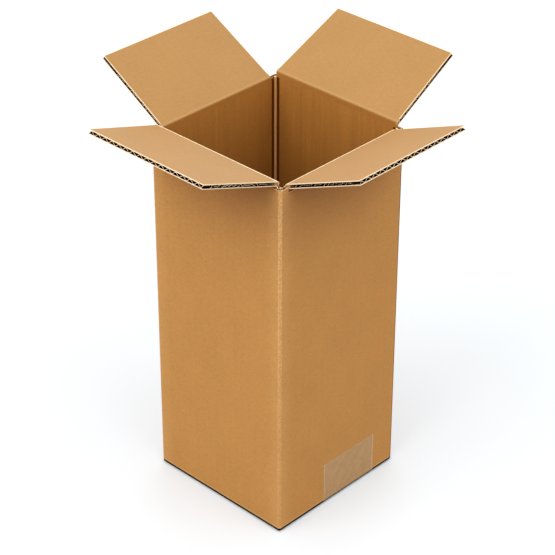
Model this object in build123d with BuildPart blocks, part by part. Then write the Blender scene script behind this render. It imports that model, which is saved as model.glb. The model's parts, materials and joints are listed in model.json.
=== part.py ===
from build123d import *

import math
import os

# An open carton, folded from one sheet of corrugated board. The origin is the
# middle of its underside. The front wall faces -Y and the right wall faces +X.

# Carton
width = 110.0  # outside, across the left and right walls
depth = 110.0  # outside, across the front and back walls
fold_height = 253.0  # from the floor to the folds of the left and right flaps
corner_radius = 1.8
bottom_radius = 2.0
bead_radius = 1.1  # the liner that bulges into each inner corner
valley_radius = 0.8  # the dent each side of that bead
corner_void_radius = 0.55  # the flute that stays open inside each corner

# Board: two flat liners with a wavy medium glued between them
board = 3.0
liner = 0.35
medium = 0.35
flute_pitch = 5.95
glue_line = 0.3  # half the width of the strip where the medium meets a liner
crest_radius = 0.45
crushed_score = 4.0  # board pressed solid beside a fold
rim_depth = 3.5  # how far down the board stands open at the cut rims in the slots

# Top flaps
flap_length = 60.0  # from the fold to the free edge, more than half the width
flap_taper = 1.0  # each side edge leans in by this much over the length
slot = 11.8  # between neighbouring flaps
notch_gap = 0.4  # beside a flap, to the corner of the walls
fold_gap = 0.3  # between the round of a fold and the wall below it
lay_gap = 0.2  # between flaps that lie on each other
front_opening = 161.0  # degrees turned from closed
right_opening = 157.0  # degrees
back_opening = 153.5  # degrees
left_opening = 150.5  # degrees
open_limit = 220.0  # degrees from closed, where a flap meets its own wall

# Bottom
seam_slit = 0.4  # between the two outer bottom flaps
nip = 0.2  # how far one bottom flap presses into the next

# Glued joint, inside the right wall at the back
tab_width = 32.0
tab_thickness = 2.4
tab_margin = 8.0  # from the folds to the ends of the tab
tab_bevel = 8.0
joint_gap = 0.7  # groove beside the raw edge of the right wall
joint_depth = 1.8
joint_inset = 1.4  # from the outside of the back wall to the middle of the groove

# Clear tape along the bottom seam, turned up both ends
tape_width = 48.0
tape_thickness = 0.06
tape_offset = 4.5  # its middle line, past the seam
tape_rise_right = 31.4
tape_rise_left = 36.0

overrun = 5.0  # how far a cutting shape passes the surface it cuts

# Places worked out from the sizes above
up = Vector(0, 0, 1)
half_width = width / 2
half_depth = depth / 2
mid_x = half_width - board / 2
mid_y = half_depth - board / 2
inner_x = half_width - board
inner_y = half_depth - board
flap_half_x = mid_x - slot / 2  # half the width of the front and back flaps
flap_half_y = mid_y - slot / 2  # half the width of the left and right flaps
fold_radius = board / 2
outer_fold_height = fold_height + board + lay_gap
inner_top = fold_height - fold_radius - fold_gap
outer_top = outer_fold_height - fold_radius - fold_gap
lap_x = flap_length - mid_x  # how far a flap reaches past the middle
lap_y = flap_length - mid_y
seam_y = lap_y
tape_y = seam_y + tape_offset

# Each wall: the way it faces, its distance, the height of its fold, half of its
# flap's width, the height of its top edge and how far its flap stands open
walls = {
    "front": (Vector(0, -1, 0), mid_y, outer_fold_height, flap_half_x, outer_top, front_opening),
    "right": (Vector(1, 0, 0), mid_x, fold_height, flap_half_y, inner_top, right_opening),
    "back": (Vector(0, 1, 0), mid_y, outer_fold_height, flap_half_x, outer_top, back_opening),
    "left": (Vector(-1, 0, 0), mid_x, fold_height, flap_half_y, inner_top, left_opening),
}


def wall_section(outward, distance, height):
    """The plane across a wall at its middle: x points out of the carton and y up."""
    return Plane(origin=outward * distance + up * height, x_dir=outward, z_dir=outward.cross(up))


def flute_row(plane, half_span, side):
    """Flute openings seen on an end of the board, with their flat side on one liner."""
    flutes = max(2, round(2 * half_span / flute_pitch))
    pitch = 2 * half_span / flutes
    base = board / 2 - liner
    peak = base - medium
    half_base = pitch / 2 - glue_line
    count = flutes + 1 if side > 0 else flutes
    with BuildSketch(plane) as row:
        with GridLocations(pitch, pitch, count, 1):
            Polygon((-half_base, side * base), (half_base, side * base), (0, -side * peak))
        crests = row.vertices().group_by(Axis.Y)[0 if side > 0 else -1]
        fillet(crests, crest_radius)
    return row.sketch


def relief_points(top):
    """Outline of what is cut above a wall's top edge, so that its flap can turn back over it."""
    tilt = math.radians(open_limit - 180)
    reach = fold_radius + fold_gap
    bevel_start = (reach * math.cos(tilt) - reach) / math.sin(tilt)
    side = board / 2 + overrun
    bevel_end = -(reach + side * math.sin(tilt)) / math.cos(tilt)
    return [
        (-side, top),
        (bevel_start, top),
        (side, bevel_end),
        (side, top + side),
        (-side, top + side),
    ]


def lapping_flap_points():
    """Section of the bottom flap that lies over the opposite one."""
    rise = board / (flap_half_x - lap_x) if lap_x > 0 else 0
    start = board - nip
    tip = start + rise * (flap_half_x + lap_x)
    return [
        (inner_x, 0),
        (flap_half_x, start),
        (-lap_x, tip),
        (-lap_x, tip + board),
        (flap_half_x, start + board),
        (inner_x, start + board),
    ]


def make_flap(outward, distance, height, half_span, opening):
    """A top flap, with the round of its fold on the fold's own axis."""
    turn = math.radians(opening)
    hinge = up.cross(outward)
    reach = up * math.sin(turn) - outward * math.cos(turn)
    outside = outward * math.sin(turn) + up * math.cos(turn)
    fold = outward * distance + up * height
    edge = Plane(origin=fold + reach * flap_length, x_dir=hinge, z_dir=reach)
    with BuildPart() as flap:
        with BuildSketch(Plane(origin=fold, x_dir=hinge, z_dir=outside)):
            Polygon(
                (-half_span, 0),
                (half_span, 0),
                (half_span - flap_taper, flap_length),
                (flap_taper - half_span, flap_length),
            )
        extrude(amount=board / 2, both=True)
        with BuildSketch(Plane(origin=fold, x_dir=reach, z_dir=hinge)):
            Circle(fold_radius)
        extrude(amount=half_span, both=True)
        for side in (1, -1):
            extrude(
                flute_row(edge, half_span, side),
                amount=crushed_score - flap_length,
                mode=Mode.SUBTRACT,
            )
    return flap.part


os.makedirs("parts", exist_ok=True)

with BuildPart() as bottom_tape:
    outer_x = half_width + tape_thickness
    bend = bottom_radius + tape_thickness
    with BuildSketch(Plane.XZ.offset(-tape_y)):
        with BuildLine():
            run = Polyline(
                (-outer_x, tape_rise_left),
                (-outer_x, 0),
                (outer_x, 0),
                (outer_x, tape_rise_right),
            )
            fillet(run.vertices().group_by(Axis.Y)[0], bend)
            offset(amount=-tape_thickness, side=Side.LEFT)
        make_face()
    extrude(amount=tape_width / 2, both=True)

bottom_tape.part.label = "bottom_tape"
export_step(bottom_tape.part, "parts/bottom_tape.step")

with BuildPart() as carton_body:
    # Walls, with the bead and the two dents that a scored corner has inside
    with BuildSketch():
        RectangleRounded(width, depth, corner_radius)
        Rectangle(2 * inner_x, 2 * inner_y, mode=Mode.SUBTRACT)
        with GridLocations(2 * inner_x, 2 * inner_y, 2, 2):
            Circle(bead_radius)
        dent = bead_radius + valley_radius
        with GridLocations(2 * (inner_x - dent), 2 * inner_y, 2, 2):
            Circle(valley_radius, mode=Mode.SUBTRACT)
        with GridLocations(2 * inner_x, 2 * (inner_y - dent), 2, 2):
            Circle(valley_radius, mode=Mode.SUBTRACT)
    extrude(amount=outer_top)
    underside = carton_body.faces().sort_by(Axis.Z)[0]
    fillet(underside.outer_wire().edges(), bottom_radius)

    # Outer bottom flaps, folded from the front and back walls, with their seam
    with BuildSketch():
        Rectangle(2 * flap_half_x, 2 * inner_y)
        with Locations((0, seam_y)):
            Rectangle(2 * flap_half_x, seam_slit, mode=Mode.SUBTRACT)
    extrude(amount=board)

    # Inner bottom flaps, folded from the left and right walls, one over the other
    with BuildSketch(Plane.XZ):
        Polygon(
            (-inner_x, 0),
            (-flap_half_x, board),
            (lap_x, board),
            (lap_x, 2 * board),
            (-inner_x, 2 * board),
        )
        Polygon(*lapping_flap_points())
    extrude(amount=flap_half_y, both=True)

    # Glue tab of the back wall, stuck inside the right wall
    with BuildSketch(Plane.YZ.offset(inner_x)):
        Polygon(
            (inner_y, tab_margin),
            (inner_y - tab_width, tab_margin + tab_bevel),
            (inner_y - tab_width, inner_top - tab_margin - tab_bevel),
            (inner_y, inner_top - tab_margin),
        )
    extrude(amount=-tab_thickness)

    # Groove where the raw edge of the right wall meets the folded corner
    with BuildSketch():
        with Locations((half_width, half_depth - joint_inset)):
            Rectangle(2 * joint_depth, joint_gap)
    extrude(amount=outer_top, mode=Mode.SUBTRACT)

    # Top edge of each wall, cut back for its flap, with a flute open at each slot
    for outward, distance, height, half_span, top, opening in walls.values():
        with BuildSketch(wall_section(outward, distance, height)):
            Polygon(*relief_points(top - height))
        extrude(amount=half_span + notch_gap, both=True, mode=Mode.SUBTRACT)
        rim = Plane(origin=outward * distance + up * outer_top, x_dir=up.cross(outward), z_dir=up)
        with BuildSketch(rim):
            base = board / 2 - liner
            half_base = flute_pitch / 2 - glue_line
            with GridLocations(2 * half_span, board, 2, 1):
                Polygon((-half_base, base), (half_base, base), (0, medium - base))
        extrude(amount=2 * board - outer_top, mode=Mode.SUBTRACT)

    # Flute left open inside each corner
    with BuildSketch(Plane.XY.offset(outer_top)):
        with GridLocations(2 * mid_x, 2 * mid_y, 2, 2):
            Circle(corner_void_radius)
    extrude(amount=2 * board - outer_top, mode=Mode.SUBTRACT)

    # Slots between the flaps, cut down to the folds of the left and right flaps
    with BuildSketch(Plane.XY.offset(outer_top)):
        Rectangle(width, depth)
        Rectangle(2 * (flap_half_x + notch_gap), depth, mode=Mode.SUBTRACT)
        Rectangle(width, 2 * (flap_half_y + notch_gap), mode=Mode.SUBTRACT)
    extrude(amount=fold_height - outer_top, mode=Mode.SUBTRACT)

    # Cut rims in the slots, where only the two liners stand up round each corner
    with BuildSketch(Plane.XY.offset(fold_height)):
        RectangleRounded(width - 2 * liner, depth - 2 * liner, corner_radius - liner)
        Rectangle(2 * (inner_x + liner), 2 * (inner_y + liner), mode=Mode.SUBTRACT)
        Rectangle(2 * flap_half_x, depth, mode=Mode.SUBTRACT)
        Rectangle(width, 2 * flap_half_y, mode=Mode.SUBTRACT)
    extrude(amount=-rim_depth, mode=Mode.SUBTRACT)

    # Bed of the tape, pressed level with the underside
    add(bottom_tape.part, mode=Mode.SUBTRACT)

carton_body.part.label = "carton_body"
export_step(carton_body.part, "parts/carton_body.step")

for name, (outward, distance, height, half_span, top, opening) in walls.items():
    flap = make_flap(outward, distance, height, half_span, opening)
    flap.label = name + "_flap"
    export_step(flap, "parts/" + flap.label + ".step")
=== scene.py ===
"""Looks of an open corrugated cardboard box: kraft board, fluted flaps and a strip of clear tape."""

import json
import math
from types import SimpleNamespace

import bmesh
import bpy
from mathutils import Matrix, Vector, noise


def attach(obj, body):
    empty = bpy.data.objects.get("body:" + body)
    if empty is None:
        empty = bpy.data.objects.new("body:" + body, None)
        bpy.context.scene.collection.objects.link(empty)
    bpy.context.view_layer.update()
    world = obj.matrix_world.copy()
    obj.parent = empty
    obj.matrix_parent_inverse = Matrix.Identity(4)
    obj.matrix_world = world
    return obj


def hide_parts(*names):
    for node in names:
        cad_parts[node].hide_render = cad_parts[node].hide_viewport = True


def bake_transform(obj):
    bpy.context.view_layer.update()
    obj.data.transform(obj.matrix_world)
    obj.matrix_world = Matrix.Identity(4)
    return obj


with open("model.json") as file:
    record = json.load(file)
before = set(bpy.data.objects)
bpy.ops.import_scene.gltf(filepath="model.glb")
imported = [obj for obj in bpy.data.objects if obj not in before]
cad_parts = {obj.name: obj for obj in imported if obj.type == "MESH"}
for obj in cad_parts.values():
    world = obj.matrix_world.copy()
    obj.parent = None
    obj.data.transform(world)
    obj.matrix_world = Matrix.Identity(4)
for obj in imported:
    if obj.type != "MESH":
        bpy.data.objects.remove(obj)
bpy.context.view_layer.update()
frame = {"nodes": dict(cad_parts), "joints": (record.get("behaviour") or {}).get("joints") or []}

# The box. Lengths are in millimetres where nothing else is said
MM = 0.001
UP = Vector((0, 0, 1))
HALF_WIDTH = 55.0
BOTTOM_RADIUS = 2.0
BOARD = 3.0
HALF_BOARD = BOARD / 2
LINER = 0.5  # its thickness, a little more than in the solids so that it shows
SKIN = 0.04  # the liner stands this far proud of the wall that it runs onto

# Its top flaps
FLAP_LENGTH = 60.0
FLAP_HALF_SPAN = 47.6
FLAP_TAPER = 1.0
FLARE = {"front_flap": 3.6, "back_flap": 3.6}  # cut this much wider beside the fold
FLARE_AT_TIP = 0.4  # share of the flare that is left at the free edge
NOTCH_GAP = 0.4
FRAYED = 0.3  # how far the torn fibres show on the face beside a cut
ALONG_FLAP = (8, 15, 25, 35, 45, 52, 57, FLAP_LENGTH - FRAYED, FLAP_LENGTH)
FRAYED_ROWS = len(ALONG_FLAP) + 2

# How the liners bend at a fold: how far down the wall they run, and the crease in the outer one
INNER_DROPS = (3.2, 2.4, 1.6, 0.8)
OUTER_DROPS = (5.0, 4.3, 3.7)
CREASE_DROP = 3.6
CREASE_DEPTH = 1.15
CREASE_HEIGHT = 1.0
CREASE_SHARES = (0.3, 0.6, 1.0)
CREASE_BOTTOM_OUT = 0.38
CREASE_BOTTOM_DROP = 2.0
CREASE_BOTTOM_MARK = -1.9  # its place along the sheet
PAST_INNER_FOLD = (0.5, 1, 2, 4)
PAST_OUTER_FOLD = (0.1, 0.3, 0.6, 0.9, 1.2, 1.5, 1.8, 2.2, 3, 5)
FOLD_STEPS = 13
WALL_ROWS = 3
PRESSED_INNER_ROWS = slice(0, 20)  # the pressed board lies against these rows of each liner
PRESSED_OUTER_ROWS = slice(2, 14)
PRESSED_ROWS = 12
PRESSED_GAP = 0.02

# The wavy fluting
FLUTING = 0.24  # its thickness
FLUTE_PITCH = 5.95
FLUTE_COUNT = 16
FLUTE_STEPS = 14  # points drawn in each flute
FLUTE_START = 1.1  # where in its wave the fluting crosses the middle of a flap
FLUTING_FROM = 0.6
FLUTING_ROWS = 90
PRESSED_SHARE = 0.3  # of its height is left at the fold
PRESSED_REACH = 8.0
TORN_LEAST = 0.15
TORN_MORE = 1.5
BENT_END = 1.2
CLOSED_TIP = 6.0

# The cut rims beside the flaps
RIM_TOP = 253.0
RIM_DEPTH = 3.5
RIM_LINER = 0.35
RIM_TURN_RADIUS = 1.3
RIM_RAGGED = 0.35
RIM_BUNCHING = 1.2  # how much closer the waves are round a corner

# The tape
TAPE_HALF_WIDTH = 24.0
TAPE_MIDDLE = 11.0
TAPE_RISE_RIGHT = 31.4
TAPE_RISE_LEFT = 36.0
TAPE_FILM = 0.06
TAPE_BEDDED = 0.005
TAPE_HIGHLIGHT_SIDE = 0.7  # width of the strip along its edge that has a painted highlight
TAPE_HIGHLIGHT_END = 0.9
TAPE_TOOTH = 1.2  # spacing of the teeth left by the dispenser's blade
TAPE_TOOTH_DEPTH = 0.4

# Sizes that show in kraft paper, cut board and tape. Real fibres are 0.03 mm thick, too fine to show, so the
# grain, fibres, specks and tufts are drawn as coarse as they need to show
PULP_CLOUD = 30.0
PULP_GRAIN = 1.5
FIBRE_LENGTH = 6.0
FIBRE_WIDTH = 1.3
BARK_SPECK = 1.4
RAGGED_FOLD = 2.5
FOLD_WANDER = 0.6
PALE_LINE = 0.8  # how far past the fold its pale line, from stretching and a painted highlight, is strongest
FLUTE_STREAK = 4.0
STREAK_STRETCH = 0.03  # a streak's width as a share of its length
RUBBED_SPOT = 1.1
TUFTS_PER_MM = 1.3
TAPE_CLOUD = 6.0
SHADE_REACH = 60.0  # painted shade reaches this far below a flap, which shuts off light from the wall

# Where the walls change their look
INNER_FACE_DEPTH = 2.0
OUTER_FACE_DEPTH = 1.9
BEAD_HALF_WIDTH = 1.1
DENT_MIDDLE = 2.3
JOINT_WIDTH = 14.0
WORN_AND_HIGHLIT_STRIP = 4.0
PAINTED_SHADE_FULL_BELOW = 120.0  # inside the box: painted shade is full below this height and gone above the next
PAINTED_SHADE_GONE_ABOVE = 250.0
SHADE_FROM = 170.0  # outside, close under the flaps: painted shade grows between these heights
SHADE_FULL = 200.0
RIMS_ABOVE = 240.0
RIM_LINE = 0.45
RIM_WAVE_SWING = 0.95
RIM_WAVE_HALF_WIDTH = 0.38

# The photograph's camera, in metres and degrees
CAMERA_PLACE = Vector((0.754853, -0.785937, 0.825863))
CAMERA_AZIMUTH = 43.842
CAMERA_ELEVATION = 31.96
CAMERA_ROLL = 0.111
CAMERA_LENS = 129.861

# The studio, in metres
BOX_MIDDLE = Vector((0, 0, 0.13))
SOFTBOX_DISTANCE = 1.7
SOFTBOX_SIZE = 1.2
FLOOR_HALF_WIDTH = 6.0

# Colours of the walls. Some are painted light: shade under the flaps, deep inside, in the dents, in the
# flute hollows and under the lower edge, and highlights on the bead and the rubbed corners
KRAFT_BOARD = {
    "outside": "#CC8F47",
    "painted_shade_under_flaps": "#96560C",
    "inside_low_painted_shade": "#925B14",
    "inside_high": "#B2772F",
    "dent": "#6A3306",
    "bead": "#D8A264",
    "rubbed_and_highlight": "#F2BE7C",
    "under_edge_painted_shadow": "#1E0F06",
    "flute_hollow_painted_shade": "#4A2A10",
    "cut_edge": "#F3D3A0",
}


def linear(hex_colour):
    """An sRGB hex colour as the linear colour that a shader takes."""
    levels = [int(hex_colour[i : i + 2], 16) / 255 for i in (1, 3, 5)]
    return [c / 12.92 if c <= 0.04045 else ((c + 0.055) / 1.055) ** 2.4 for c in levels] + [1.0]


def add_node(tree, kind, inputs=None, stops=None, out=0, **settings):
    """Adds a node and gives back its output. Inputs take values or sockets; stops are a ramp's colours."""
    made = tree.nodes.new(kind)
    for name, value in settings.items():
        setattr(made, name, value)
    for name, value in (inputs or {}).items():
        if isinstance(value, bpy.types.NodeSocket):
            tree.links.new(value, made.inputs[name])
        else:
            made.inputs[name].default_value = value
    if stops:
        ramp = made.color_ramp.elements
        while len(ramp) < len(stops):
            ramp.new(1.0)
        for stop, (position, colour) in zip(ramp, stops):
            stop.position = position
            stop.color = colour
    return made.outputs[out] if len(made.outputs) else made


def new_tree(name):
    """A material with an empty node tree."""
    material = bpy.data.materials.new(name)
    material.use_nodes = True
    material.node_tree.nodes.clear()
    return material, material.node_tree


def kraft_pulp(tree, place):
    """Tone and height of kraft paper: cloudy pulp, fibres, specks of bark and a faint washboard.

    place is in millimetres, with x across the flutes and y along them."""
    math_node = "ShaderNodeMath"
    cloud = add_node(tree, "ShaderNodeTexNoise", {"Vector": place, "Scale": 1 / PULP_CLOUD, "Detail": 2.0})
    pulp = add_node(
        tree, "ShaderNodeTexNoise",
        {"Vector": place, "Scale": 1 / PULP_GRAIN, "Detail": 3.0, "Roughness": 0.75},
    )
    fibre_sizes = (1 / FIBRE_LENGTH, 1 / FIBRE_WIDTH, 1 / FIBRE_LENGTH)
    in_fibres = add_node(tree, "ShaderNodeVectorMath", {0: place, 1: fibre_sizes}, operation="MULTIPLY")
    fibre = add_node(tree, "ShaderNodeTexNoise", {"Vector": in_fibres, "Scale": 1.0, "Detail": 2.0})

    # The tone stays around 1: clouds, grain and fibres each take a little off it or add a little
    tone = add_node(tree, math_node, {0: cloud, 1: 0.14, 2: 0.93}, operation="MULTIPLY_ADD")
    tone = add_node(tree, math_node, {0: pulp, 1: 0.37, 2: tone}, operation="MULTIPLY_ADD")
    tone = add_node(tree, math_node, {0: fibre, 1: 0.14, 2: tone}, operation="MULTIPLY_ADD")
    tone = add_node(tree, math_node, {0: tone, 1: 0.255}, operation="SUBTRACT")
    speck = add_node(tree, "ShaderNodeTexNoise", {"Vector": place, "Scale": 1 / BARK_SPECK, "Detail": 1.0})
    bark = add_node(
        tree, "ShaderNodeMapRange",
        {"Value": speck, "From Min": 0.27, "From Max": 0.34, "To Min": 0.84, "To Max": 1.0},
    )
    tone = add_node(tree, math_node, {0: tone, 1: bark}, operation="MULTIPLY")

    # The flutes under the liner show as a washboard that is hardly seen
    across = add_node(tree, "ShaderNodeSeparateXYZ", {0: place})
    ridge = add_node(tree, math_node, {0: across, 1: 2 * math.pi / FLUTE_PITCH}, operation="MULTIPLY")
    ridge = add_node(tree, math_node, {0: ridge}, operation="COSINE")
    tone = add_node(tree, math_node, {0: ridge, 1: 0.006, 2: tone}, operation="MULTIPLY_ADD")
    height = add_node(tree, math_node, {0: ridge, 1: 0.02, 2: pulp}, operation="MULTIPLY_ADD")
    return tone, height


def paper_shader(tree, colour, tone, height, gloss=0.5):
    """Matt paper of that colour and tone, with a fine grain that breaks its sheen."""
    shade = add_node(tree, "ShaderNodeVectorMath", {0: colour, 1: tone}, operation="MULTIPLY")
    bump = add_node(tree, "ShaderNodeBump", {"Height": height, "Strength": 0.5, "Distance": 0.03 * MM})
    paper = add_node(
        tree, "ShaderNodeBsdfPrincipled",
        {"Base Color": shade, "Roughness": 0.62, "Specular IOR Level": gloss, "Normal": bump},
    )
    add_node(tree, "ShaderNodeOutputMaterial", {"Surface": paper})


def painted_shade_under_flaps(tree):
    """How much painted shade the flap above puts on a place, by how far it shuts the place off from the
    light: 0 in the open, 1 close under the flap.
    """
    open_air = add_node(
        tree, "ShaderNodeAmbientOcclusion", {"Distance": SHADE_REACH * MM}, samples=12, out=1
    )
    return add_node(
        tree, "ShaderNodeMapRange",
        {"Value": open_air, "From Min": 0.66, "From Max": 1.0, "To Min": 1.0, "To Max": 0.0},
    )


def flap_liner(name, colour, wall_colour, crease, stretch=0.0, gloss=0.5, painted_shade_on_wall=False):
    """Kraft linerboard on a flap, mapped in millimetres from its fold, where it is paler from stretching and
    from a painted highlight.

    Where painted shade on the wall is asked for, the liner has its wall's colour, a painted shade, only
    where the flap shuts off the light."""
    material, tree = new_tree(name)
    math_node = "ShaderNodeMath"
    place = add_node(tree, "ShaderNodeUVMap", uv_map="board")
    tone, height = kraft_pulp(tree, place)

    # Neither the end of the wall's colour nor the pale line of the fold is quite straight
    along = add_node(tree, "ShaderNodeSeparateXYZ", {0: place}, out=1)
    ragged = add_node(tree, "ShaderNodeTexNoise", {"Vector": place, "Scale": 1 / RAGGED_FOLD, "Detail": 3.0})
    along = add_node(tree, math_node, {0: ragged, 1: 2 * FOLD_WANDER, 2: along}, operation="MULTIPLY_ADD")
    along = add_node(tree, math_node, {0: along, 1: FOLD_WANDER}, operation="SUBTRACT")
    on_wall = add_node(
        tree, "ShaderNodeMapRange",
        {"Value": along, "From Min": -0.9, "From Max": -0.1, "To Min": 1.0, "To Max": 0.0},
    )
    # Painted shade: the wall's colour shows only close under the flap
    if painted_shade_on_wall:
        on_wall = add_node(tree, math_node, {0: on_wall, 1: painted_shade_under_flaps(tree)}, operation="MULTIPLY")
    base = add_node(
        tree, "ShaderNodeMix", {0: on_wall, 6: linear(colour), 7: linear(wall_colour)},
        data_type="RGBA", out=2,
    )
    # The pale line along the fold: partly stretched paper, partly a painted highlight
    near = add_node(tree, math_node, {0: along, 1: PALE_LINE}, operation="SUBTRACT")
    near = add_node(tree, math_node, {0: near}, operation="ABSOLUTE")
    stretched_and_highlit = add_node(
        tree, "ShaderNodeMapRange",
        {"Value": near, "From Min": 0.5, "From Max": 1.0, "To Min": stretch, "To Max": 0.0},
    )
    base = add_node(
        tree, "ShaderNodeMix", {0: stretched_and_highlit, 6: base, 7: linear(crease)}, data_type="RGBA", out=2
    )
    paper_shader(tree, base, tone, height, gloss)
    return material


def raw_edge(name, colour, dark):
    """Board that a cut or a fold crushed: torn and matted fibres, so that it is tufted and has no sheen."""
    material, tree = new_tree(name)
    place = add_node(tree, "ShaderNodeTexCoord", out=3)
    tufts = add_node(
        tree, "ShaderNodeTexNoise",
        {"Vector": place, "Scale": TUFTS_PER_MM / MM, "Detail": 3.0, "Roughness": 0.7},
    )
    base = add_node(
        tree, "ShaderNodeValToRGB", {0: tufts}, stops=[(0.36, linear(dark)), (0.62, linear(colour))]
    )
    bump = add_node(tree, "ShaderNodeBump", {"Height": tufts, "Strength": 0.6, "Distance": 0.1 * MM})
    edge = add_node(
        tree, "ShaderNodeBsdfPrincipled",
        {"Base Color": base, "Roughness": 0.9, "Specular IOR Level": 0.0, "Normal": bump},
    )
    add_node(tree, "ShaderNodeOutputMaterial", {"Surface": edge})
    return material


def wall_places(tree):
    """Where a place lies, in millimetres: how high, how deep in the board, how far from a corner."""
    math_node = "ShaderNodeMath"
    metres = add_node(tree, "ShaderNodeTexCoord", out=3)
    place = add_node(tree, "ShaderNodeVectorMath", {0: metres, 1: [1 / MM] * 3}, operation="MULTIPLY")
    x = add_node(tree, "ShaderNodeSeparateXYZ", {0: place}, out=0)
    y = add_node(tree, "ShaderNodeSeparateXYZ", {0: place}, out=1)
    z = add_node(tree, "ShaderNodeSeparateXYZ", {0: place}, out=2)

    # One sheet for all the walls, because x + y runs along each of them
    across = add_node(tree, math_node, {0: x, 1: y}, operation="ADD")
    between = add_node(tree, math_node, {0: x, 1: y}, operation="SUBTRACT")
    sheet = add_node(tree, "ShaderNodeCombineXYZ", {0: across, 1: z, 2: between})

    # How far a point lies in from the outer faces of the walls
    in_x = add_node(tree, math_node, {0: x}, operation="ABSOLUTE")
    in_x = add_node(tree, math_node, {0: HALF_WIDTH, 1: in_x}, operation="SUBTRACT")
    in_y = add_node(tree, math_node, {0: y}, operation="ABSOLUTE")
    in_y = add_node(tree, math_node, {0: HALF_WIDTH, 1: in_y}, operation="SUBTRACT")
    depth = add_node(tree, math_node, {0: in_x, 1: in_y}, operation="MINIMUM")
    from_corner = add_node(tree, math_node, {0: in_x, 1: in_y}, operation="MAXIMUM")
    on_side = add_node(tree, math_node, {0: in_x, 1: in_y}, operation="LESS_THAN")
    run = add_node(tree, "ShaderNodeMix", {0: on_side, 2: x, 3: y}, data_type="FLOAT")

    is_inside = add_node(tree, math_node, {0: depth, 1: INNER_FACE_DEPTH}, operation="GREATER_THAN")
    above = add_node(tree, math_node, {0: z, 1: 1.0}, operation="GREATER_THAN")
    is_inside = add_node(tree, math_node, {0: is_inside, 1: above}, operation="MULTIPLY")

    # Only the cut rims and the bottom of the inside face up
    normal = add_node(tree, "ShaderNodeNewGeometry", out=1)
    facing = add_node(tree, "ShaderNodeSeparateXYZ", {0: normal}, out=2)
    is_level = add_node(tree, math_node, {0: facing, 1: 0.7}, operation="GREATER_THAN")
    return SimpleNamespace(
        place=place, z=z, across=across, sheet=sheet, run=run, depth=depth,
        from_corner=from_corner, is_inside=is_inside, is_level=is_level,
    )


def inner_liner(tree, wall):
    """Colour inside the box, and where its dents are.

    The flutes show through as faint upright streaks. Painted shade darkens the walls lower down, though not
    faces that look up, and each corner has a bead with a painted highlight between dents in painted shade."""
    math_node = "ShaderNodeMath"
    stretch = add_node(
        tree, "ShaderNodeVectorMath", {0: wall.sheet, 1: (1, STREAK_STRETCH, 1)}, operation="MULTIPLY"
    )
    streak = add_node(
        tree, "ShaderNodeTexNoise",
        {"Vector": stretch, "Scale": 1 / FLUTE_STREAK, "Detail": 3.0, "Roughness": 0.7},
    )
    streak = add_node(tree, math_node, {0: streak, 1: 0.5, 2: 0.75}, operation="MULTIPLY_ADD")
    # Painted shade: the inside is darker lower down, but faces that look up get none
    near_top = add_node(
        tree, "ShaderNodeMapRange", {"Value": wall.z, "From Min": PAINTED_SHADE_FULL_BELOW, "From Max": PAINTED_SHADE_GONE_ABOVE}
    )
    near_top = add_node(tree, math_node, {0: near_top, 1: wall.is_level}, operation="MAXIMUM")
    low, high = linear(KRAFT_BOARD["inside_low_painted_shade"]), linear(KRAFT_BOARD["inside_high"])
    inner = add_node(tree, "ShaderNodeMix", {0: near_top, 6: low, 7: high}, data_type="RGBA", out=2)
    inner = add_node(tree, "ShaderNodeVectorMath", {0: inner, 1: streak}, operation="MULTIPLY")

    # Painted shade in the dents, and a painted highlight on the bead between them
    from_edge = add_node(tree, math_node, {0: wall.from_corner, 1: BOARD}, operation="SUBTRACT")
    off_dent = add_node(tree, math_node, {0: from_edge, 1: DENT_MIDDLE}, operation="SUBTRACT")
    off_dent = add_node(tree, math_node, {0: off_dent}, operation="ABSOLUTE")
    in_dent = add_node(
        tree, "ShaderNodeMapRange",
        {"Value": off_dent, "From Min": 1.0, "From Max": 1.4, "To Min": 1.0, "To Max": 0.0},
    )
    dent = linear(KRAFT_BOARD["dent"])
    inner = add_node(tree, "ShaderNodeMix", {0: in_dent, 6: inner, 7: dent}, data_type="RGBA", out=2)
    on_bead = add_node(tree, math_node, {0: from_edge, 1: BEAD_HALF_WIDTH}, operation="LESS_THAN")
    bead = linear(KRAFT_BOARD["bead"])
    inner = add_node(tree, "ShaderNodeMix", {0: on_bead, 6: inner, 7: bead}, data_type="RGBA", out=2)
    return inner, in_dent


def outer_liner(tree, wall):
    """Colour outside the box, with painted shade close under the flaps."""
    up_high = add_node(
        tree, "ShaderNodeMapRange", {"Value": wall.z, "From Min": SHADE_FROM, "From Max": SHADE_FULL}
    )
    shade = add_node(tree, "ShaderNodeMath", {0: painted_shade_under_flaps(tree), 1: up_high}, operation="MULTIPLY")
    light, dark = linear(KRAFT_BOARD["outside"]), linear(KRAFT_BOARD["painted_shade_under_flaps"])
    return add_node(tree, "ShaderNodeMix", {0: shade, 6: light, 7: dark}, data_type="RGBA", out=2)


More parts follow.
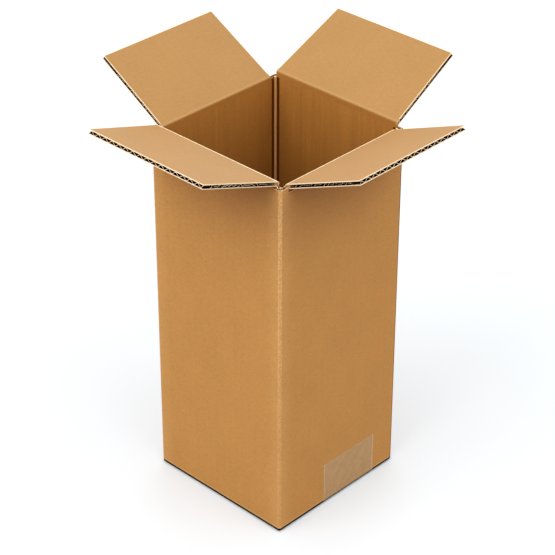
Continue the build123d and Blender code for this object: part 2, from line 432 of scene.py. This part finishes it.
def rubbed_and_highlit_corners(tree, wall):
    """How pale the liner is over the three folded corners: rubbed in spots, with painted highlights along
    the two bends of each.

    It isn't over the fourth, where the sheet is glued."""
    math_node = "ShaderNodeMath"
    rub = add_node(
        tree, "ShaderNodeTexNoise",
        {"Vector": wall.place, "Scale": 1 / RUBBED_SPOT, "Detail": 2.0, "Roughness": 0.6},
    )
    rubbed_and_highlight = add_node(
        tree, "ShaderNodeMapRange",
        {"Value": rub, "From Min": 0.4, "From Max": 0.62, "To Min": 0.25, "To Max": 1.5},
    )
    none, half, full = (0, 0, 0, 1), (0.5, 0.5, 0.5, 1), (1, 1, 1, 1)
    in_strip = add_node(tree, math_node, {0: wall.from_corner, 1: 1 / WORN_AND_HIGHLIT_STRIP}, operation="MULTIPLY")
    stops = [(0.15, half), (0.28, half), (0.38, full), (0.47, none)]
    bends = add_node(tree, "ShaderNodeValToRGB", {0: in_strip}, stops=stops)
    worn_and_highlit = add_node(tree, math_node, {0: rubbed_and_highlight, 1: bends}, operation="MULTIPLY")

    # The strip is paler higher up, and beside each corner a faint painted light pales the liner
    paler_higher_up = add_node(
        tree, "ShaderNodeMapRange",
        {"Value": wall.z, "From Min": 0.0, "From Max": 240.0, "To Min": 0.5, "To Max": 1.1},
    )
    worn_and_highlit = add_node(tree, math_node, {0: worn_and_highlit, 1: paler_higher_up}, operation="MULTIPLY")
    painted_light_beside_corner = add_node(
        tree, "ShaderNodeMapRange",
        {"Value": wall.from_corner, "From Min": 2.0, "From Max": 12.0, "To Min": 0.18, "To Max": 0.0},
    )
    worn_and_highlit = add_node(tree, math_node, {0: worn_and_highlit, 1: painted_light_beside_corner}, operation="MAXIMUM")
    on_face = add_node(tree, math_node, {0: wall.depth, 1: OUTER_FACE_DEPTH}, operation="LESS_THAN")
    worn_and_highlit = add_node(tree, math_node, {0: worn_and_highlit, 1: on_face}, operation="MULTIPLY")
    joint_start = 2 * HALF_WIDTH - JOINT_WIDTH
    off_joint = add_node(tree, math_node, {0: wall.across, 1: joint_start}, operation="LESS_THAN")
    return add_node(tree, math_node, {0: worn_and_highlit, 1: off_joint}, operation="MULTIPLY")


def cut_rim(tree, wall):
    """Where the cut rims are, and their colour: pale liners and wavy fluting, with painted shade in the
    hollow flutes between them.
    """
    math_node = "ShaderNodeMath"
    high = add_node(tree, math_node, {0: wall.z, 1: RIMS_ABOVE}, operation="GREATER_THAN")
    is_rim = add_node(tree, math_node, {0: wall.is_level, 1: high}, operation="MULTIPLY")
    wave = add_node(tree, math_node, {0: wall.run, 1: 2 * math.pi / FLUTE_PITCH}, operation="MULTIPLY")
    wave = add_node(tree, math_node, {0: wave}, operation="COSINE")
    middle = add_node(tree, math_node, {0: wall.depth, 1: HALF_BOARD}, operation="SUBTRACT")
    off_wave = add_node(tree, math_node, {0: wave, 1: -RIM_WAVE_SWING, 2: middle}, operation="MULTIPLY_ADD")
    off_wave = add_node(tree, math_node, {0: off_wave}, operation="ABSOLUTE")
    off_middle = add_node(tree, math_node, {0: middle}, operation="ABSOLUTE")
    solid = add_node(tree, math_node, {0: off_wave, 1: RIM_WAVE_HALF_WIDTH}, operation="LESS_THAN")
    liners = add_node(tree, math_node, {0: off_middle, 1: HALF_BOARD - RIM_LINE}, operation="GREATER_THAN")
    solid = add_node(tree, math_node, {0: solid, 1: liners}, operation="MAXIMUM")
    hollow, edge = linear(KRAFT_BOARD["flute_hollow_painted_shade"]), linear(KRAFT_BOARD["cut_edge"])
    return is_rim, add_node(tree, "ShaderNodeMix", {0: solid, 6: hollow, 7: edge}, data_type="RGBA", out=2)


def carton_board(name):
    """Kraft board of the walls, with machine-made liners: matt, cloudy and fibrous, with worn corners that
    carry painted highlights, and painted shade under the flaps, low inside, in the dents and under the lower
    edge.
    """
    material, tree = new_tree(name)
    math_node = "ShaderNodeMath"
    wall = wall_places(tree)
    tone, height = kraft_pulp(tree, wall.sheet)
    inner, in_dent = inner_liner(tree, wall)
    outer = outer_liner(tree, wall)
    base = add_node(tree, "ShaderNodeMix", {0: wall.is_inside, 6: outer, 7: inner}, data_type="RGBA", out=2)
    # Corners rubbed pale, with painted highlights along their bends and painted light beside them
    worn_and_highlit = rubbed_and_highlit_corners(tree, wall)
    rubbed_and_highlight = linear(KRAFT_BOARD["rubbed_and_highlight"])
    base = add_node(tree, "ShaderNodeMix", {0: worn_and_highlit, 6: base, 7: rubbed_and_highlight}, data_type="RGBA", out=2)

    # A pale line just above the rounded lower edge, and a dark painted shadow where it turns under to the
    # floor
    lower = add_node(
        tree, "ShaderNodeMapRange",
        {"Value": wall.z, "From Min": 3.0, "From Max": 4.2, "To Min": 0.45, "To Max": 0.0},
    )
    base = add_node(tree, "ShaderNodeMix", {0: lower, 6: base, 7: rubbed_and_highlight}, data_type="RGBA", out=2)
    under_edge_painted_shadow_mask = add_node(
        tree, "ShaderNodeMapRange",
        {"Value": wall.z, "From Min": 2.3, "From Max": 2.9, "To Min": 1.0, "To Max": 0.0},
    )
    dark = linear(KRAFT_BOARD["under_edge_painted_shadow"])
    base = add_node(tree, "ShaderNodeMix", {0: under_edge_painted_shadow_mask, 6: base, 7: dark}, data_type="RGBA", out=2)
    is_rim, rim = cut_rim(tree, wall)
    base = add_node(tree, "ShaderNodeMix", {0: is_rim, 6: base, 7: rim}, data_type="RGBA", out=2)

    # The dents and the lower edge lie in shade, so they have no sheen
    sheen = add_node(tree, math_node, {0: in_dent, 1: wall.is_inside}, operation="MULTIPLY")
    sheen = add_node(tree, math_node, {0: sheen, 1: under_edge_painted_shadow_mask}, operation="MAXIMUM")
    sheen = add_node(tree, math_node, {0: sheen, 1: -0.5, 2: 0.5}, operation="MULTIPLY_ADD")
    paper_shader(tree, base, tone, height, sheen)
    return material


def packing_tape(name):
    """Clear polypropylene tape: it dulls and greys the board under it, and its edges have a painted
    highlight.
    """
    material, tree = new_tree(name)
    math_node = "ShaderNodeMath"
    place = add_node(tree, "ShaderNodeUVMap", uv_map="board")
    side = add_node(tree, "ShaderNodeSeparateXYZ", {0: place}, out=0)
    side = add_node(tree, math_node, {0: side}, operation="ABSOLUTE")
    end = add_node(tree, "ShaderNodeSeparateXYZ", {0: place}, out=1)
    highlight_from = TAPE_HALF_WIDTH - TAPE_HIGHLIGHT_SIDE
    at_side = add_node(tree, math_node, {0: side, 1: highlight_from}, operation="GREATER_THAN")
    at_end = add_node(tree, math_node, {0: end, 1: TAPE_HIGHLIGHT_END}, operation="LESS_THAN")
    at_end = add_node(tree, math_node, {0: at_end, 1: 0.45}, operation="MULTIPLY")
    at_edge = add_node(tree, math_node, {0: at_side, 1: at_end}, operation="MAXIMUM")

    # How far it hides the board: cloudy with the glue, more at its edges and little where it turns under
    film = add_node(
        tree, "ShaderNodeTexNoise",
        {"Vector": place, "Scale": 1 / TAPE_CLOUD, "Detail": 4.0, "Roughness": 0.6},
    )
    hold = add_node(
        tree, "ShaderNodeMapRange",
        {"Value": film, "From Min": 0.3, "From Max": 0.7, "To Min": 0.46, "To Max": 0.60},
    )
    hold = add_node(tree, math_node, {0: at_edge, 1: 0.18, 2: hold}, operation="MULTIPLY_ADD")
    metres = add_node(tree, "ShaderNodeTexCoord", out=3)
    height = add_node(tree, "ShaderNodeSeparateXYZ", {0: metres}, out=2)
    stuck = add_node(
        tree, "ShaderNodeMapRange",
        {"Value": height, "From Min": 1.6 * MM, "From Max": 2.2 * MM, "To Min": 0.15, "To Max": 1.0},
    )
    hold = add_node(tree, math_node, {0: hold, 1: stuck}, operation="MULTIPLY")
    # Painted highlight along its sides and torn ends
    base = add_node(
        tree, "ShaderNodeMix", {0: at_edge, 6: linear("#DEBB8A"), 7: linear("#EBD2B0")},
        data_type="RGBA", out=2,
    )
    bump = add_node(tree, "ShaderNodeBump", {"Height": film, "Strength": 0.3, "Distance": 0.05 * MM})
    tape = add_node(
        tree, "ShaderNodeBsdfPrincipled",
        {"Base Color": base, "Roughness": 0.42, "IOR": 1.49, "Alpha": hold, "Normal": bump},
    )
    add_node(tree, "ShaderNodeOutputMaterial", {"Surface": tape})
    return material


def add_skin(mesh, uv_layer, face, marks):
    """A sheet with no thickness through a grid of points."""
    points = [[mesh.verts.new(p * MM) for p in row] for row in face]
    for i in range(len(face) - 1):
        for j in range(len(face[0]) - 1):
            ring = [(i, j), (i, j + 1), (i + 1, j + 1), (i + 1, j)]
            made = mesh.faces.new([points[a][b] for a, b in ring])
            made.smooth = True
            for loop, (a, b) in zip(made.loops, ring):
                loop[uv_layer].uv = marks[a][b]


def add_slab(mesh, uv_layer, face, back, marks, slots, on_wall=0, frayed_from=None):
    """A thin sheet between two grids of points. slots are the materials of its face, its back and its edges.

    Its first rows, on_wall of them, run onto the wall, so that their edges look like its face. From the row
    frayed_from on, the outermost strip of its face has the material of the edges."""
    rows = len(face)
    columns = len(face[0])
    front = [[mesh.verts.new(p * MM) for p in row] for row in face]
    rear = [[mesh.verts.new(p * MM) for p in row] for row in back]

    def quad(corners, places, slot, smooth=False):
        made = mesh.faces.new(corners)
        made.material_index = slot
        made.smooth = smooth
        for loop, place in zip(made.loops, places):
            loop[uv_layer].uv = place

    def edge_quad(ring, slot):
        corners = [rear[a][b] for a, b in ring] + [front[a][b] for a, b in reversed(ring)]
        quad(corners, [marks[a][b] for a, b in ring + ring[::-1]], slot)

    for i in range(rows - 1):
        for j in range(columns - 1):
            ring = [(i, j), (i, j + 1), (i + 1, j + 1), (i + 1, j)]
            at_cut = i == rows - 2 or j in (0, columns - 2)
            frayed = frayed_from is not None and i >= frayed_from and at_cut
            slot = slots[2 if frayed else 0]
            quad([front[a][b] for a, b in ring], [marks[a][b] for a, b in ring], slot, smooth=not frayed)
            ring.reverse()
            quad([rear[a][b] for a, b in ring], [marks[a][b] for a, b in ring], slots[1], smooth=True)
    for row in (0, rows - 1):
        for j in range(columns - 1):
            ring = [(row, j), (row, j + 1)]
            if row:
                ring.reverse()
            edge_quad(ring, slots[2 if row or not on_wall else 0])
    for column in (0, columns - 1):
        for i in range(rows - 1):
            ring = [(i + 1, column), (i, column)]
            if column:
                ring.reverse()
            edge_quad(ring, slots[2 if i >= on_wall else 0])


def new_piece(name, mesh, materials):
    """Turns the mesh that was built into a piece with its materials. Its cut edges stay crisp."""
    bmesh.ops.recalc_face_normals(mesh, faces=mesh.faces)
    for edge in mesh.edges:
        edge.smooth = all(face.smooth for face in edge.link_faces)
    data = bpy.data.meshes.new(name)
    mesh.to_mesh(data)
    mesh.free()
    piece = bpy.data.objects.new(name, data)
    bpy.context.scene.collection.objects.link(piece)
    for material in materials:
        data.materials.append(material)
    return piece


def spread(low, high, count):
    """Numbers evenly from low to high."""
    return [low + (high - low) * i / (count - 1) for i in range(count)]


def resample(points, count):
    """As many points as asked for, along a line through the given ones."""
    last = len(points) - 1
    line = []
    for place in spread(0, last, count):
        step = min(int(place), last - 1)
        line.append(points[step].lerp(points[step + 1], place - step))
    return line


class TopFlap:
    """Where one top flap lies, seen from its fold.

    reach runs along the flap, hinge along its fold and outside off its outer face. The section of a liner is
    a list of points across the fold, each with the way to the liner's other face and its place along it."""

    def __init__(self, node, joint):
        self.axis = Vector(joint["pos_m"]) / MM
        self.hinge = Vector(joint["axis"]).normalized()
        self.outward = self.hinge.cross(UP)
        corners = [v.co / MM - self.axis for v in frame["nodes"][node].data.vertices]
        far = max(c.dot(self.outward) for c in corners)
        tips = [c for c in corners if c.dot(self.outward) > far - BOARD]
        tip = sum(tips, Vector()) / len(tips)
        self.reach = (tip - self.hinge * tip.dot(self.hinge)).normalized()
        self.outside = self.reach.cross(self.hinge)
        if self.outside.dot(UP) > 0:
            self.outside.negate()
        self.flare = FLARE.get(node, 0.0)

    def half_span(self, run):
        """Half the flap's width, that far along it."""
        share = max(0.0, run) / FLAP_LENGTH
        return FLAP_HALF_SPAN - FLAP_TAPER * share + self.flare * (1 - (1 - FLARE_AT_TIP) * share)

    def inner_section(self):
        """The inner liner: up the wall, round the fold and along the flap."""
        bend = math.acos(max(-1.0, min(1.0, self.outward.dot(self.outside))))
        radius = HALF_BOARD + SKIN
        past_middle = bend / 2 * radius
        section = []
        for drop in INNER_DROPS:
            section.append((-self.outward * radius - UP * drop, self.outward, -drop - past_middle))
        for angle in spread(0, bend, FOLD_STEPS):
            ray = -self.outward * math.cos(angle) + UP * math.sin(angle)
            section.append((ray * radius, -ray, (angle - bend / 2) * radius))
        for run in PAST_INNER_FOLD + ALONG_FLAP:
            point = -self.outside * HALF_BOARD + self.reach * run
            section.append((point, self.outside, run + past_middle))
        return section

    def outer_section(self):
        """The outer liner: up the wall, into the crease under the fold and along the flap."""
        radius = HALF_BOARD + SKIN
        section = [(self.outward * radius - UP * drop, -self.outward, -drop) for drop in OUTER_DROPS]
        for share in CREASE_SHARES:
            drop = CREASE_DROP - CREASE_HEIGHT * share
            point = self.outward * (radius - CREASE_DEPTH * share) - UP * drop
            section.append((point, -self.outward, share - OUTER_DROPS[-1]))
        point = self.outward * CREASE_BOTTOM_OUT - UP * CREASE_BOTTOM_DROP
        section.append((point, -self.outward, CREASE_BOTTOM_MARK))
        for run in PAST_OUTER_FOLD + ALONG_FLAP:
            section.append((self.outside * HALF_BOARD + self.reach * run, -self.outside, run))
        return section


def add_liner(mesh, uv_layer, flap, section, slots, way):
    """One liner of a flap. way is 1 or -1, and runs its columns so that its face looks out."""
    strip = FRAYED / FLAP_HALF_SPAN
    columns = [-1, strip - 1] + spread(-1, 1, 25)[1:-1] + [1 - strip, 1]
    face, back, marks = [], [], []
    for point, depth, run in section:
        notch = NOTCH_GAP if point.dot(UP) < -2.0 else 0.0
        spans = [c * (flap.half_span(point.dot(flap.reach)) + notch) * way for c in columns]
        face.append([flap.axis + point + flap.hinge * s for s in spans])
        back.append([flap.axis + point + depth * LINER + flap.hinge * s for s in spans])
        marks.append([(s, run) for s in spans])
    frayed_from = len(section) - FRAYED_ROWS
    add_slab(mesh, uv_layer, face, back, marks, slots, on_wall=WALL_ROWS, frayed_from=frayed_from)


def add_pressed_board(mesh, uv_layer, flap, inner, outer, slot):
    """Board pressed solid along the fold, between the two liners."""
    pressed = []
    for section, rows in ((inner, PRESSED_INNER_ROWS), (outer, PRESSED_OUTER_ROWS)):
        points = [point + depth * (LINER + PRESSED_GAP) for point, depth, run in section[rows]]
        layer = []
        for point in resample(points, PRESSED_ROWS):
            half_span = flap.half_span(point.dot(flap.reach))
            layer.append([flap.axis + point + flap.hinge * side * half_span for side in (-1, 1)])
        pressed.append(layer)
    marks = [[(side * FLAP_HALF_SPAN, row) for side in (-1, 1)] for row in range(PRESSED_ROWS)]
    add_slab(mesh, uv_layer, *pressed, marks, (slot, slot, slot))


def flute_phase(across):
    """Where a place across a flap lies in the wave of its fluting."""
    return 2 * math.pi * across / FLUTE_PITCH + FLUTE_START


def closing_lean(half_span, side):
    """The liner that the last flute leans to, so that no light comes through: 1 the outer, -1 the inner."""
    here = math.cos(flute_phase(side * (half_span - TORN_LEAST - BENT_END)))
    onward = math.cos(flute_phase(side * (half_span - TORN_LEAST - 0.2)))
    return math.copysign(1.0, -here if abs(here) > 0.7 else onward - here)


def torn_sides(flap, run):
    """How far the fluting is torn back at each side of a flap, and how its end is bent, from -1 to 1."""
    if run > FLAP_LENGTH - CLOSED_TIP:
        return [TORN_LEAST] * 2, [closing_lean(flap.half_span(run), side) for side in (-1, 1)]
    # Each side, and each of the two measures, follows a line of the noise of its own
    tears = [noise.noise(Vector((run * 0.9, 9.0 * side, 7.0))) for side in (0, 1)]
    leans = [noise.noise(Vector((run * 0.55, 5.0 * side, 3.0))) for side in (0, 1)]
    torn = [TORN_LEAST + TORN_MORE * abs(tear) for tear in tears]
    return torn, [max(-1.0, min(1.0, 1.7 * lean)) for lean in leans]


def add_fluting(mesh, uv_layer, flap, slots):
    """The wavy paper between the liners, pressed flat at the fold and torn along the side cuts."""
    swing = HALF_BOARD - LINER - FLUTING / 2
    steps = FLUTE_COUNT * FLUTE_STEPS
    face, back, marks = [], [], []
    for run in spread(FLUTING_FROM, FLAP_LENGTH, FLUTING_ROWS):
        height = swing * min(1.0, PRESSED_SHARE + run / PRESSED_REACH)
        torn, bent = torn_sides(flap, run)
        low = torn[0] - flap.half_span(run)
        high = flap.half_span(run) - torn[1]
        face_row, back_row, mark_row = [], [], []
        for step in range(steps + 1):
            across = (2 * step / steps - 1) * (FLAP_HALF_SPAN + flap.flare)
            across = max(low, min(high, across))
            limit, lean = (low, bent[0]) if across < 0 else (high, bent[1])
            phase = flute_phase(across)
            rise = height * math.cos(phase)
            rise += max(0.0, 1 - abs(limit - across) / BENT_END) * (swing * lean - rise)
            slope = -height * math.sin(phase) * 2 * math.pi / FLUTE_PITCH
            steepness = 1 / math.sqrt(1 + slope * slope)
            off_face = flap.outside * steepness - flap.hinge * slope * steepness
            centre = flap.axis + flap.reach * run + flap.hinge * across + flap.outside * rise
            face_row.append(centre - off_face * FLUTING / 2)
            back_row.append(centre + off_face * FLUTING / 2)
            mark_row.append((across, run))
        face.append(face_row)
        back.append(back_row)
        marks.append(mark_row)
    add_slab(mesh, uv_layer, face, back, marks, slots)


def make_flap(node, joint, facing, outside, edge, fluting, pressed):
    """One top flap as board: two liners that run over its fold onto the wall, and fluting between them."""
    flap = TopFlap(node, joint)
    inner = flap.inner_section()
    outer = flap.outer_section()
    mesh = bmesh.new()
    uv_layer = mesh.loops.layers.uv.new("board")
    add_liner(mesh, uv_layer, flap, inner, (0, 3, 2), 1)
    add_liner(mesh, uv_layer, flap, outer, (1, 3, 2), -1)
    add_pressed_board(mesh, uv_layer, flap, inner, outer, 4)
    add_fluting(mesh, uv_layer, flap, (3, 3, 2))

    piece = new_piece(node + "_board", mesh, [facing, outside, edge, fluting, pressed])
    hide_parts(node)
    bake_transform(piece)


def make_rim(number, side_x, side_y, edge, paper):
    """The fluting that shows in the cut rim of one corner, between the two flaps beside it."""
    middle = HALF_WIDTH - HALF_BOARD
    start = FLAP_HALF_SPAN + NOTCH_GAP
    centre = middle - RIM_TURN_RADIUS
    line = [(Vector((x, middle, 0)), Vector((0, 1, 0))) for x in spread(start, centre, 16)]
    for angle in spread(0, math.pi / 2, 9)[1:]:
        ray = Vector((math.sin(angle), math.cos(angle), 0))
        line.append((Vector((centre, centre, 0)) + ray * RIM_TURN_RADIUS, ray))
    line += [(Vector((middle, y, 0)), Vector((1, 0, 0))) for y in spread(centre, start, 16)[1:]]
    swing = HALF_BOARD - RIM_LINER - FLUTING / 2
    mesh = bmesh.new()
    uv_layer = mesh.loops.layers.uv.new("board")
    face, back, marks = [], [], []
    for level in spread(0, 1, 4):
        travelled = 0.0
        face_row, back_row, mark_row = [], [], []
        for step, (point, ray) in enumerate(line):
            travelled += (point - line[step - 1][0]).length if step else 0.0
            height = RIM_TOP - RIM_DEPTH + level * RIM_DEPTH
            if level == 1:
                height -= RIM_RAGGED * abs(noise.noise(Vector((travelled, 3.0 * number, 1.0))))
            wave = swing * math.sin(2 * math.pi * travelled / FLUTE_PITCH * RIM_BUNCHING + number)
            for row, away in ((face_row, wave + FLUTING / 2), (back_row, wave - FLUTING / 2)):
                placed = point + ray * away
                row.append(Vector((side_x * placed.x, side_y * placed.y, height)))
            mark_row.append((travelled, height))
        face.append(face_row)
        back.append(back_row)
        marks.append(mark_row)
    add_slab(mesh, uv_layer, face, back, marks, (1, 1, 0))
    rim = new_piece(f"rim_fluting_{number}", mesh, [edge, paper])
    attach(rim, "box")


def make_tape(material):
    """The tape, from the left wall under the box to the right one, with the teeth of its torn ends."""
    edge = HALF_WIDTH + TAPE_FILM - TAPE_BEDDED
    bend = BOTTOM_RADIUS + TAPE_FILM
    path = [(edge, z) for z in spread(TAPE_RISE_RIGHT, bend, 16)]
    for angle in spread(0, math.pi / 2, 8)[1:]:
        path.append((edge - bend + bend * math.cos(angle), bend - bend * math.sin(angle)))
    path += [(x, 0.0) for x in spread(edge - bend, bend - edge, 12)[1:]]
    for angle in spread(0, math.pi / 2, 8)[1:]:
        path.append((bend - edge - bend * math.sin(angle), bend - bend * math.cos(angle)))
    path += [(-edge, z) for z in spread(bend, TAPE_RISE_LEFT, 16)[1:]]
    teeth = int(2 * TAPE_HALF_WIDTH / TAPE_TOOTH)
    columns = spread(TAPE_HALF_WIDTH, -TAPE_HALF_WIDTH, 2 * teeth + 1)
    mesh = bmesh.new()
    uv_layer = mesh.loops.layers.uv.new("board")
    face, marks = [], []
    travelled = 0.0
    for row, (x, z) in enumerate(path):
        if row:
            travelled += math.dist(path[row - 1], path[row])
        face_row = []
        for number, across in enumerate(columns):
            point = Vector((x, TAPE_MIDDLE + across, z))
            if row in (0, len(path) - 1):
                ragged = 0.5 + abs(noise.noise(Vector((across * 0.7, row, 2.0))))
                point.z -= TAPE_TOOTH_DEPTH * ragged * (number % 2)
            face_row.append(point)
        face.append(face_row)
        marks.append([(c, travelled) for c in columns])
    add_skin(mesh, uv_layer, face, marks)
    tape = new_piece("bottom_tape_film", mesh, [material])
    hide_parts("bottom_tape")
    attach(tape, "box")


def direction(azimuth, elevation):
    """Unit vector from the box to a place around it. Azimuth 0 is in front of it and 90 to its right."""
    turn, rise = math.radians(azimuth), math.radians(elevation)
    return Vector((math.sin(turn) * math.cos(rise), -math.cos(turn) * math.cos(rise), math.sin(rise)))


def add_softbox(name, azimuth, elevation, strength):
    """A square studio softbox that faces the box. strength is the light that it sends, in watts."""
    lamp = bpy.data.lights.new(name, "AREA")
    lamp.shape = "SQUARE"
    lamp.size = SOFTBOX_SIZE
    lamp.energy = strength
    softbox = bpy.data.objects.new(name, lamp)
    away = direction(azimuth, elevation)
    softbox.location = BOX_MIDDLE + away * SOFTBOX_DISTANCE
    softbox.rotation_euler = away.to_track_quat("Z", "Y").to_euler()
    bpy.context.scene.collection.objects.link(softbox)


def add_camera():
    """The camera at the photograph's angle."""
    azimuth, roll = math.radians(CAMERA_AZIMUTH), math.radians(CAMERA_ROLL)
    back = direction(CAMERA_AZIMUTH, CAMERA_ELEVATION)
    right = Vector((math.cos(azimuth), math.sin(azimuth), 0))
    top = back.cross(right)
    right, top = (
        right * math.cos(roll) + top * math.sin(roll),
        top * math.cos(roll) - right * math.sin(roll),
    )
    data = bpy.data.cameras.new("camera")
    data.lens = CAMERA_LENS
    data.sensor_width = 36
    camera = bpy.data.objects.new("camera", data)
    turned = Matrix((right, top, back)).transposed().to_4x4()
    camera.matrix_world = Matrix.Translation(CAMERA_PLACE) @ turned
    bpy.context.scene.collection.objects.link(camera)
    bpy.context.scene.camera = camera


def floor_paper(name):
    """Matt white background paper.

    To the camera it glows a little, so that only the box's shadow is darker than white. It has no glow under
    the box."""
    material, tree = new_tree(name)
    is_camera = add_node(tree, "ShaderNodeLightPath", out=0)
    matt = add_node(tree, "ShaderNodeBsdfDiffuse", {"Color": linear("#CECECE")})
    dim = add_node(tree, "ShaderNodeBsdfDiffuse", {"Color": linear("#9A9A9A")})
    place = add_node(tree, "ShaderNodeTexCoord", out=3)
    span = add_node(tree, "ShaderNodeVectorMath", {0: place}, operation="ABSOLUTE")
    in_x = add_node(tree, "ShaderNodeSeparateXYZ", {0: span}, out=0)
    in_y = add_node(tree, "ShaderNodeSeparateXYZ", {0: span}, out=1)
    span = add_node(tree, "ShaderNodeMath", {0: in_x, 1: in_y}, operation="MAXIMUM")
    clear = add_node(
        tree, "ShaderNodeMapRange",
        {"Value": span, "From Min": (HALF_WIDTH - 1) * MM, "From Max": (HALF_WIDTH + 1) * MM},
    )
    glow = add_node(tree, "ShaderNodeEmission", {"Color": linear("#7D878E"), "Strength": clear})
    seen = add_node(tree, "ShaderNodeAddShader", {0: matt, 1: glow})
    surface = add_node(tree, "ShaderNodeMixShader", {0: is_camera, 1: dim, 2: seen})
    add_node(tree, "ShaderNodeOutputMaterial", {"Surface": surface})
    return material


def add_floor():
    """Pale floor that keeps the box's shadow."""
    mesh = bmesh.new()
    bmesh.ops.create_grid(mesh, x_segments=1, y_segments=1, size=FLOOR_HALF_WIDTH)
    data = bpy.data.meshes.new("floor")
    mesh.to_mesh(data)
    mesh.free()
    floor = bpy.data.objects.new("floor", data)
    bpy.context.scene.collection.objects.link(floor)
    data.materials.append(floor_paper("pale_floor"))


def add_surroundings():
    """White surroundings, a little dimmer as a light than to the camera."""
    world = bpy.data.worlds.new("white_studio")
    bpy.context.scene.world = world
    world.use_nodes = True
    tree = world.node_tree
    tree.nodes.clear()
    is_camera = add_node(tree, "ShaderNodeLightPath", out=0)
    strength = add_node(tree, "ShaderNodeMix", {0: is_camera, 2: 0.92, 3: 1.0}, data_type="FLOAT")
    sky = add_node(tree, "ShaderNodeBackground", {"Color": (1, 1, 1, 1), "Strength": strength})
    add_node(tree, "ShaderNodeOutputWorld", {"Surface": sky})


add_camera()

# Kraft linerboard, made on a paper machine: matt, cloudy brown paper with fibres along the machine's run.
# The pale line along the folds is partly paper stretching and partly a painted highlight, strongest on the
# front and right flaps, which are bent back hard
inside_liner = flap_liner("kraft_liner_inside", "#AA7D42", "#B0752E", "#C9A068", stretch=0.2)
highlit_fold_liner = flap_liner("kraft_liner_bent_back_fold_highlight", "#AD7F42", "#B0752E", "#FFEAC0", stretch=1.0)
# The outer liner's wall colour is painted shade, used only close under the flap
outside_liner = flap_liner("kraft_liner_outside", "#CB8F48", "#96560C", "#CB8F48", painted_shade_on_wall=True)

# Board cut by a die shows pale torn fibres, and board crushed in a fold shows them brown and matted
cut_paper = raw_edge("cut_board_edge", "#FFEACB", "#FBD5A4")
pressed_board = raw_edge("pressed_board", "#E0B27C", "#8A5A2C")

# Fluting between the liners is painted near black as painted shade, so that only its cut edge stands out
fluting_painted_shade = flap_liner("fluting_painted_shade", "#1E0E05", "#1E0E05", "#1E0E05", gloss=0.0)
rim_paper = flap_liner("rim_fluting_paper", "#85552A", "#85552A", "#85552A", gloss=0.0)

for joint in frame["joints"]:
    facing = highlit_fold_liner if joint["child"] in ("front_flap", "right_flap") else inside_liner
    make_flap(joint["child"], joint, facing, outside_liner, cut_paper, fluting_painted_shade, pressed_board)

for number, (side_x, side_y) in enumerate(((1, -1), (1, 1), (-1, 1), (-1, -1)), 1):
    make_rim(number, side_x, side_y, cut_paper, rim_paper)

body_slots = frame["nodes"]["carton_body"].data.materials
body_slots.clear()
body_slots.append(carton_board("corrugated_kraft_board"))

make_tape(packing_tape("clear_packing_tape"))

add_floor()
add_surroundings()
add_softbox("left_softbox", -5, 45, 7.1)
add_softbox("high_left_softbox", -5, 60, 5.6)
add_softbox("right_softbox", 92, 60, 7.6)
add_softbox("rear_softbox", 217, 20, 6.6)
bpy.context.scene.view_settings.view_transform = "Standard"
